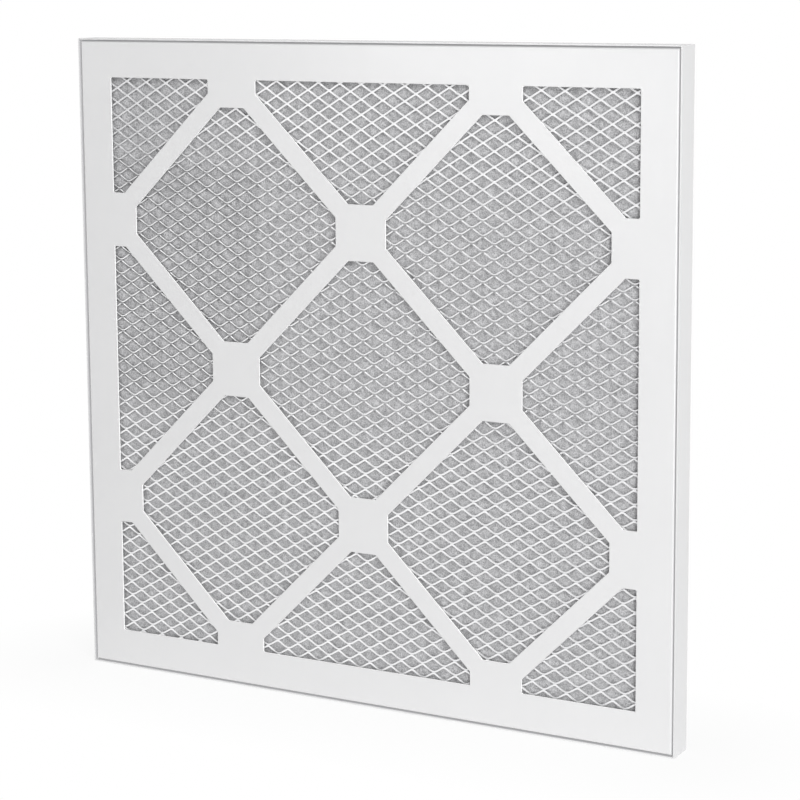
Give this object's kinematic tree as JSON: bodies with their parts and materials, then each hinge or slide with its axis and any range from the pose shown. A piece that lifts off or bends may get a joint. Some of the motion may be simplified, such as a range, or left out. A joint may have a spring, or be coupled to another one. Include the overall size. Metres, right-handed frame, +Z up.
{
  "type": "air purifier filter",
  "caption": "Square panel air filter: two nested folded board trays with a diagonal die-cut lattice hold an expanded metal sheet over a flat fibre mat.",
  "frame": {"origin": "middle of the bottom edge, on the surface that the panel stands on", "axes": "+X to the right across the front face, +Y from the front face to the back, through the panel, +Z up"},
  "size_m": [0.394, 0.019, 0.394],
  "materials": {
    "coated_board": "white clay-coated paperboard with a smooth, slightly silky face",
    "expanded_metal": "bright zinc-plated expanded steel strands",
    "fibre_mat": "mottled light grey synthetic fibre mat",
    "adhesive": "off-white hot-melt adhesive"
  },
  "bodies": {
    "root": {"rear_tray": "coated_board", "front_tray": "coated_board", "support_grid": "expanded_metal", "media_pad": "fibre_mat", "front_glue_bead": "adhesive", "rear_glue_bead": "adhesive"}
  },
  "joints": []
}
